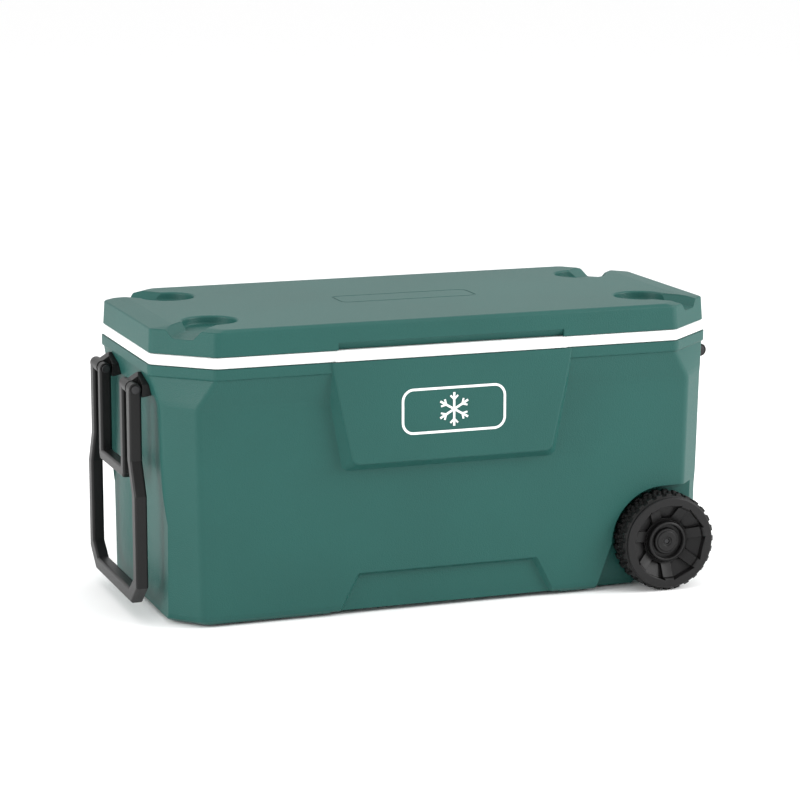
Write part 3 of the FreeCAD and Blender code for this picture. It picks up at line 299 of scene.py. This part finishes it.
@dataclass(frozen=True)
class PlatedSteel:
    """Zinc-plated steel with fine drawn lines."""

    name: str
    colour: tuple[float, float, float]
    roughness: float = 0.32

    def build(self, effects: Effects) -> bpy.types.Material:
        """Builds the material.

        Args:
            effects: The shared node groups.

        Returns:
            The material.
        """
        material, wire, shader = start_material(self.name)
        lines = wire.add("ShaderNodeGroup", node_tree=effects.brush)
        tone = wire.add("ShaderNodeGroup", node_tree=effects.tone)
        tone.inputs["Patch"].default_value = 0.01
        dull = (*(c * 0.72 for c in self.colour), 1.0)
        mixed = wire.mix(tone.outputs["Cloud"], (*self.colour, 1.0), dull)
        wire.tree.links.new(mixed, shader.inputs["Base Color"])
        shader.inputs["Metallic"].default_value = 1.0
        rough = wire.spread(lines.outputs["Height"], 0.3, 0.7, self.roughness - 0.1, self.roughness + 0.12)
        wire.tree.links.new(rough, shader.inputs["Roughness"])
        bump = wire.add("ShaderNodeBump", {"Height": lines.outputs["Height"]})
        bump.inputs["Strength"].default_value = 0.15
        bump.inputs["Distance"].default_value = 0.0001
        wire.tree.links.new(bump.outputs["Normal"], shader.inputs["Normal"])
        return material


@dataclass(frozen=True)
class ClosedFoam:
    """Poured insulating foam: cream, matt and full of small cells."""

    name: str
    colour: tuple[float, float, float]
    cell: float = 0.0025

    def build(self, effects: Effects) -> bpy.types.Material:
        """Builds the material.

        Args:
            effects: The shared node groups.

        Returns:
            The material.
        """
        material, wire, shader = start_material(self.name)
        grain = wire.add("ShaderNodeGroup", node_tree=effects.grain)
        grain.inputs["Pitch"].default_value = self.cell
        shade = wire.spread(grain.outputs["Height"], 0.2, 0.9, 0.0, 1.0)
        dark = (*(c * 0.75 for c in self.colour), 1.0)
        wire.tree.links.new(wire.mix(shade, dark, (*self.colour, 1.0)), shader.inputs["Base Color"])
        shader.inputs["Roughness"].default_value = 0.95
        bump = wire.add("ShaderNodeBump", {"Height": grain.outputs["Height"]})
        bump.inputs["Strength"].default_value = 0.6
        bump.inputs["Distance"].default_value = self.cell * 0.4
        wire.tree.links.new(bump.outputs["Normal"], shader.inputs["Normal"])
        return material


class Finish(Enum):
    """Every finish on the cooler."""

    GREEN = MouldedPlastic(
        "green_shell", (0.010, 0.075, 0.064), roughness=0.48, grain_pitch=0.002, grain_depth=0.34,
        edge_reach=0.0016, edge_amount=0.22, edge_lift=1.6, tone_change=0.1, specular=0.27,
    )
    WHITE = MouldedPlastic(
        "white_liner", (0.82, 0.84, 0.83), roughness=0.38, grain_pitch=0.003, grain_depth=0.04,
        edge_reach=0.001, edge_amount=0.1, edge_lift=1.0, tone_change=0.03, specular=0.45,
    )
    HANDLE = MouldedPlastic(
        "black_handle", (0.0045, 0.0045, 0.0046), roughness=0.4, grain_pitch=0.0012, grain_depth=0.1,
        edge_reach=0.0014, edge_amount=0.2, edge_lift=2.0, tone_change=0.2, specular=0.26,
    )
    WHEEL = MouldedPlastic(
        "black_wheel", (0.0045, 0.0043, 0.0045), roughness=0.46, grain_pitch=0.0012, grain_depth=0.16,
        edge_reach=0.0012, edge_amount=0.3, edge_lift=2.0, tone_change=0.2, specular=0.27,
    )
    TREAD = MouldedPlastic(
        "black_tread", (0.004, 0.004, 0.004), roughness=0.58, grain_pitch=0.0012, grain_depth=0.25,
        edge_reach=0.0008, edge_amount=0.25, edge_lift=2.2, tone_change=0.3, specular=0.25,
    )
    GREY = MouldedPlastic(
        "grey_hinge", (0.022, 0.024, 0.024), roughness=0.48, grain_pitch=0.0012, grain_depth=0.12,
        edge_reach=0.0008, edge_amount=0.3, edge_lift=2.5, tone_change=0.15, specular=0.5,
    )
    RUBBER = MouldedPlastic(
        "seal_rubber", (0.012, 0.012, 0.012), roughness=0.70, grain_pitch=0.0010, grain_depth=0.20,
        edge_reach=0.0006, edge_amount=0.20, edge_lift=2.0, tone_change=0.2, specular=0.3,
    )
    STEEL = PlatedSteel("plated_steel", (0.60, 0.60, 0.59))
    # Painted shade: steel made near black, so the screws in the hub hollows and the pins in the handle eyes
    # look as dark as their shaded hollows
    SHADE_DARK_STEEL = PlatedSteel("steel_dark_as_shade", (0.055, 0.055, 0.057), 0.42)
    FOAM = ClosedFoam("insulating_foam", (0.80, 0.72, 0.50))


class Palette:
    """Builds every finish once and hands the materials out."""

    def __init__(self) -> None:
        """Builds the shared effects and all the materials."""
        effects = Effects()
        self.materials = {finish: finish.value.build(effects) for finish in Finish}

    def dress(self, finish: Finish, *nodes: str) -> None:
        """Gives CAD nodes a finish.

        Args:
            finish: The finish.
            nodes: Names of CAD nodes.
        """
        for name in nodes:
            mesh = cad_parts[name].data
            mesh.materials.clear()
            mesh.materials.append(self.materials[finish])


# ---- studio --------------------------------------------------------------------------------------
@dataclass(frozen=True)
class SoftBox:
    """One square light. Lengths in metres, power in watts."""

    name: str
    place: tuple[float, float, float]
    size: float
    power: float


@dataclass
class Studio:
    """Pale floor, soft lights and the camera. Lengths in metres, angles in degrees, lens in millimetres."""

    azimuth: float = -19.81
    elevation: float = 10.76
    distance: float = 4.675
    aim: tuple[float, float, float] = (-0.0055, 0.0039, 0.3319)
    lens: float = 127.05
    shift_y: float = -0.0246
    sensor_width: float = 36.0
    far_limit: float = 100.0
    floor_size: float = 60.0
    floor_colour: tuple[float, float, float] = (0.99, 0.99, 0.99)
    world_strength: float = 1.0
    lit_point: tuple[float, float, float] = (0.0, 0.0, 0.2)
    lights: tuple[SoftBox, ...] = (
        SoftBox("key", (3.6, -2.2, 2.2), 2.0, 170.0),
        SoftBox("side", (-4.2, -0.8, 1.8), 2.2, 120.0),
        SoftBox("top", (0.0, 0.6, 3.6), 3.2, 25.0),
    )

    def place_camera(self) -> None:
        """Makes the scene's camera and aims it."""
        turn, tilt = math.radians(self.azimuth), math.radians(self.elevation)
        back = Vector((math.sin(turn) * math.cos(tilt), -math.cos(turn) * math.cos(tilt), math.sin(tilt)))
        data = bpy.data.cameras.new("camera")
        data.lens = self.lens
        data.sensor_width = self.sensor_width
        data.shift_y = self.shift_y
        data.clip_end = self.far_limit
        camera = bpy.data.objects.new("camera", data)
        camera.location = Vector(self.aim) + back * self.distance
        camera.rotation_euler = back.to_track_quat("Z", "Y").to_euler()
        bpy.context.scene.collection.objects.link(camera)
        bpy.context.scene.camera = camera

    def lay_floor(self) -> None:
        """Lays the pale floor."""
        mesh = bpy.data.meshes.new("floor")
        half = self.floor_size / 2
        corners = [(-half, -half, 0), (half, -half, 0), (half, half, 0), (-half, half, 0)]
        mesh.from_pydata(corners, [], [(0, 1, 2, 3)])
        floor = bpy.data.objects.new("floor", mesh)
        bpy.context.scene.collection.objects.link(floor)
        material, _, shader = start_material("pale_floor")
        shader.inputs["Base Color"].default_value = (*self.floor_colour, 1.0)
        shader.inputs["Roughness"].default_value = 1.0
        shader.inputs["Specular IOR Level"].default_value = 0.2
        mesh.materials.append(material)

    def light(self) -> None:
        """Hangs the soft lights and sets the world."""
        for box in self.lights:
            self.hang(box)
        world = bpy.data.worlds.new("studio")
        world.use_nodes = True
        world.node_tree.nodes["Background"].inputs["Color"].default_value = (1.0, 1.0, 1.0, 1.0)
        world.node_tree.nodes["Background"].inputs["Strength"].default_value = self.world_strength
        bpy.context.scene.world = world
        bpy.context.scene.view_settings.view_transform = "Standard"

    def hang(self, box: SoftBox) -> None:
        """Hangs one light so that it faces the cooler.

        Args:
            box: The light.
        """
        data = bpy.data.lights.new(box.name, "AREA")
        data.size = box.size
        data.energy = box.power
        lamp = bpy.data.objects.new(box.name, data)
        lamp.location = box.place
        towards = Vector(box.place) - Vector(self.lit_point)
        lamp.rotation_euler = towards.to_track_quat("Z", "Y").to_euler()
        bpy.context.scene.collection.objects.link(lamp)


# ---- sub-assemblies ------------------------------------------------------------------------------
SIDES = ("front", "back")
ENDS = ("tow", "wheel")


@dataclass
class Tub:
    """The tub's shell, liner, foam, emblem and drain."""

    def build(self, palette: Palette) -> None:
        """Dresses the tub's nodes.

        Args:
            palette: The finishes.
        """
        palette.dress(Finish.GREEN, "outer_shell")
        palette.dress(Finish.WHITE, "inner_liner", "panel_badge", "drain_tube", "drain_stopper")
        palette.dress(Finish.FOAM, "tub_foam")
        palette.dress(Finish.RUBBER, "drain_gasket")


@dataclass
class Lid:
    """The lid's shell, liner and foam."""

    def build(self, palette: Palette) -> None:
        """Dresses the lid's nodes.

        Args:
            palette: The finishes.
        """
        palette.dress(Finish.GREEN, "lid_shell")
        palette.dress(Finish.WHITE, "lid_liner")
        palette.dress(Finish.FOAM, "lid_foam")


@dataclass
class Hinges:
    """The lid's three hinges and their screws."""

    def build(self, palette: Palette) -> None:
        """Dresses the hinges.

        Args:
            palette: The finishes.
        """
        for place in ("left", "middle", "right"):
            palette.dress(Finish.GREY, f"hinge_base_{place}", f"hinge_leaf_{place}")
            palette.dress(Finish.STEEL, f"hinge_pin_{place}")
        palette.dress(Finish.STEEL, "hinge_base_screws", "hinge_leaf_screws")


@dataclass
class Handles:
    """The tow handle, both carry handles, their brackets, pins and screws."""

    def build(self, palette: Palette) -> None:
        """Dresses the handles.

        Args:
            palette: The finishes.
        """
        palette.dress(Finish.HANDLE, "tow_handle", "carry_handle_tow_end", "carry_handle_wheel_end")
        # The handle pins and bracket screws take the steel made near black, as painted shade for their
        # shaded eyes
        for end in ENDS:
            for side in SIDES:
                palette.dress(Finish.HANDLE, f"bracket_{end}_{side}")
                palette.dress(Finish.SHADE_DARK_STEEL, f"handle_pin_{end}_{side}")
        palette.dress(Finish.SHADE_DARK_STEEL, "bracket_screws")


# A lug's outer end as a share of its foot, and the smallest lug as a share of the largest
LUG_TAPER = 0.78
LEAST_LUG = 0.97


class LugTree:
    """The node tree that sets one ring of tread lugs round a tyre, about an axis along Y."""

    def __init__(self) -> None:
        """Builds the tree and keeps its input identifiers by name."""
        self.tree = bpy.data.node_groups.new("lug_ring", "GeometryNodeTree")
        self.tree.is_modifier = True
        kinds = {"Tyre": Socket.SHAPE, "Centre": Socket.VECTOR, "Count": Socket.WHOLE}
        kinds |= {name: Socket.VALUE for name in ("Base Radius", "Length", "Width", "Height", "Phase")}
        kinds |= {"Seed": Socket.WHOLE, "Material": Socket.MATERIAL}
        self.inputs = {}
        for name, kind in kinds.items():
            socket = self.tree.interface.new_socket(name, in_out="INPUT", socket_type=kind.value)
            self.inputs[name] = socket.identifier
        self.tree.interface.new_socket("Tyre", in_out="OUTPUT", socket_type=Socket.SHAPE.value)
        self._wire()

    def _wire(self) -> None:
        """Adds the nodes: a tapered lug, a ring of points, a lug on each, and the join with the tyre."""
        wire = Wiring(self.tree)
        given = wire.add("NodeGroupInput").outputs
        placed = self._stand(wire, given, self._ring(wire, given, self._lug(wire, given)))
        joined = wire.add("GeometryNodeJoinGeometry", {0: placed})
        self.tree.links.new(given["Tyre"], joined.inputs[0])
        real = wire.add("GeometryNodeRealizeInstances", {0: joined.outputs[0]})
        dressed = {"Geometry": real.outputs[0], "Material": given["Material"]}
        coated = wire.add("GeometryNodeSetMaterial", dressed)
        wire.add("NodeGroupOutput", {0: coated.outputs[0]})

    def _lug(self, wire: Wiring, given: object) -> bpy.types.NodeSocket:
        """Makes one tapered lug that points along X."""
        corner = math.sqrt(0.5)
        sizes = {"Vertices": 4, "Radius Top": corner * LUG_TAPER, "Radius Bottom": corner, "Depth": 1.0}
        block = wire.add("GeometryNodeMeshCone", sizes, fill_type="NGON").outputs["Mesh"]
        squared = wire.add("GeometryNodeTransform", {"Geometry": block, "Rotation": (0.0, 0.0, math.pi / 4)})
        sides = {"X": given["Width"], "Y": given["Length"], "Z": given["Height"]}
        size = wire.add("ShaderNodeCombineXYZ", sides)
        upright = {"Geometry": squared.outputs[0], "Scale": size.outputs[0]}
        upright["Rotation"] = (0.0, math.pi / 2, 0.0)
        return wire.add("GeometryNodeTransform", upright).outputs[0]

    def _ring(self, wire: Wiring, given: object, lug: bpy.types.NodeSocket) -> bpy.types.NodeSocket:
        """Sets lugs of slightly mixed size on a ring about Z."""
        circle = {"Vertices": given["Count"], "Radius": given["Base Radius"]}
        ring = wire.add("GeometryNodeMeshCircle", circle)
        step = wire.maths("DIVIDE", 2.0 * math.pi, given["Count"])
        turn = wire.maths("MULTIPLY", wire.add("GeometryNodeInputIndex").outputs[0], step)
        facing = wire.add("ShaderNodeCombineXYZ", {"Z": turn})
        vary = wire.add("FunctionNodeRandomValue", {"Seed": given["Seed"]}, data_type="FLOAT")
        vary.inputs[RANDOM_LEAST].default_value = LEAST_LUG
        vary.inputs[RANDOM_MOST].default_value = 1.0
        links = {"Points": ring.outputs[0], "Instance": lug, "Rotation": facing.outputs[0]}
        links["Scale"] = vary.outputs[RANDOM_RESULT]
        return wire.add("GeometryNodeInstanceOnPoints", links).outputs[0]

    def _stand(self, wire: Wiring, given: object, lugs: bpy.types.NodeSocket) -> bpy.types.NodeSocket:
        """Turns the ring by its phase, stands it about Y and sets it on the wheel."""
        phase = wire.add("ShaderNodeCombineXYZ", {"Z": given["Phase"]})
        spun = {"Geometry": lugs, "Rotation": phase.outputs[0]}
        turned = wire.add("GeometryNodeTransform", spun).outputs[0]
        upended = {"Geometry": turned, "Rotation": (math.pi / 2, 0.0, 0.0), "Translation": given["Centre"]}
        return wire.add("GeometryNodeTransform", upended).outputs[0]

    def apply(self, piece: bpy.types.Object, values: dict) -> None:
        """Adds one ring of lugs to a piece and leaves it a plain mesh.

        Args:
            piece: The tyre, at the origin.
            values: The tree's inputs by name.
        """
        modifier = piece.modifiers.new("lugs", "NODES")
        modifier.node_group = self.tree
        for name, value in values.items():
            modifier[self.inputs[name]] = value
        bpy.context.view_layer.update()
        graph = bpy.context.evaluated_depsgraph_get()
        mesh = bpy.data.meshes.new_from_object(piece.evaluated_get(graph))
        piece.modifiers.remove(modifier)
        piece.data = mesh


@dataclass(frozen=True)
class LugRow:
    """One ring of lugs. Lengths in metres; offset runs outwards from the wheel's inner face."""

    offset: float
    count: int
    length: float
    width: float
    shift: float


@dataclass
class Tyre:
    """A tread band with staggered lugs that replaces the CAD tyre. Lengths in metres, angles in degrees."""

    side: str
    centre_x: float = 375 * MM
    centre_z: float = 81 * MM
    inner_face: float = 191 * MM
    bore: float = 72 * MM
    body_radius: float = 77.4 * MM
    lug_radius: float = 80.7 * MM
    lug_depth: float = 6.0 * MM
    inside: float = 3.0 * MM
    outside: float = 48.5 * MM
    shoulder: float = 2.4 * MM
    sharp_above: float = 35.0
    steps: int = 128
    rows: tuple[LugRow, ...] = (
        LugRow(42.0 * MM, 28, 11.0 * MM, 9.5 * MM, 0.0),
        LugRow(31.5 * MM, 56, 5.4 * MM, 8.0 * MM, 0.25),
        LugRow(21.0 * MM, 56, 5.4 * MM, 8.0 * MM, 0.75),
        LugRow(10.0 * MM, 28, 11.0 * MM, 10.0 * MM, 0.5),
    )

    def build(self, palette: Palette, lugs: LugTree) -> None:
        """Builds the tyre and sets it on its wheel.

        Args:
            palette: The finishes.
            lugs: The tree that adds a ring of lugs.
        """
        material = palette.materials[Finish.TREAD]
        tyre = self._band(f"tread_{self.side}")
        tyre.data.materials.append(material)
        for number, row in enumerate(self.rows):
            values = {"Centre": (self.centre_x, self._y(row.offset), self.centre_z), "Count": row.count}
            values |= {"Base Radius": self.lug_radius - self.lug_depth, "Height": self.lug_depth}
            values |= {"Length": row.length, "Width": row.width}
            values["Phase"] = row.shift * 2.0 * math.pi / row.count
            values |= {"Seed": number, "Material": material}
            lugs.apply(tyre, values)
        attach(tyre, f"wheel_{self.side}")
        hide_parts(f"tyre_{self.side}")

    def _y(self, offset: float) -> float:
        """Where an offset from the wheel's inner face lies along Y."""
        outwards = -1.0 if self.side == "front" else 1.0
        return outwards * (self.inner_face + offset)

    def _profile(self) -> list[tuple[float, float]]:
        """The band's closed outline, as pairs of radius and offset, with both shoulders eased."""
        outer, soft = self.body_radius, self.shoulder
        profile = [(self.bore, self.inside), (outer - soft, self.inside)]
        profile.append((outer - soft * 0.3, self.inside + soft * 0.4))
        profile += [(outer, self.inside + soft), (outer, self.outside - soft)]
        profile += [(outer - soft * 0.3, self.outside - soft * 0.4), (outer - soft, self.outside)]
        return [*profile, (self.bore, self.outside)]

    def _band(self, name: str) -> bpy.types.Object:
        """Turns the smooth band under the lugs, as a closed ring.

        Args:
            name: The piece's name.

        Returns:
            The piece, at the origin.
        """
        form = bmesh.new()
        rings = []
        turns = [2.0 * math.pi * i / self.steps for i in range(self.steps)]
        for radius, offset in self._profile():
            y = self._y(offset)
            ring = []
            for turn in turns:
                x, z = self.centre_x + radius * math.cos(turn), self.centre_z + radius * math.sin(turn)
                ring.append(form.verts.new((x, y, z)))
            rings.append(ring)
        for ring, following in zip(rings, rings[1:] + rings[:1]):
            for i in range(self.steps):
                j = (i + 1) % self.steps
                form.faces.new((ring[i], ring[j], following[j], following[i]))
        bmesh.ops.recalc_face_normals(form, faces=form.faces)
        for face in form.faces:
            face.smooth = True
        mesh = bpy.data.meshes.new(name)
        form.to_mesh(mesh)
        form.free()
        mesh.set_sharp_from_angle(angle=math.radians(self.sharp_above))
        band = bpy.data.objects.new(name, mesh)
        bpy.context.scene.collection.objects.link(band)
        return band


@dataclass
class Wheels:
    """Both wheels and the axle."""

    def build(self, palette: Palette) -> None:
        """Dresses the wheels and builds their tyres.

        Args:
            palette: The finishes.
        """
        lugs = LugTree()
        for side in SIDES:
            palette.dress(Finish.WHEEL, f"wheel_rim_{side}", f"hub_cap_{side}")
            palette.dress(Finish.TREAD, f"tyre_{side}")
            Tyre(side).build(palette, lugs)
        palette.dress(Finish.STEEL, "axle", "axle_washers")
        # The axle end screws take the steel made near black, as painted shade for the shaded hub hollow
        palette.dress(Finish.SHADE_DARK_STEEL, "axle_end_screws")
        palette.dress(Finish.GREY, "axle_sleeve")


def main() -> None:
    """Builds the cooler's looks and the studio."""
    logging.basicConfig(level=logging.INFO)
    palette = Palette()
    for piece in (Tub(), Lid(), Hinges(), Handles(), Wheels()):
        piece.build(palette)
        LOG.info("built %s", type(piece).__name__)
    studio = Studio()
    studio.place_camera()
    studio.lay_floor()
    studio.light()
    LOG.info("built Studio")


if __name__ == "__main__":
    main()
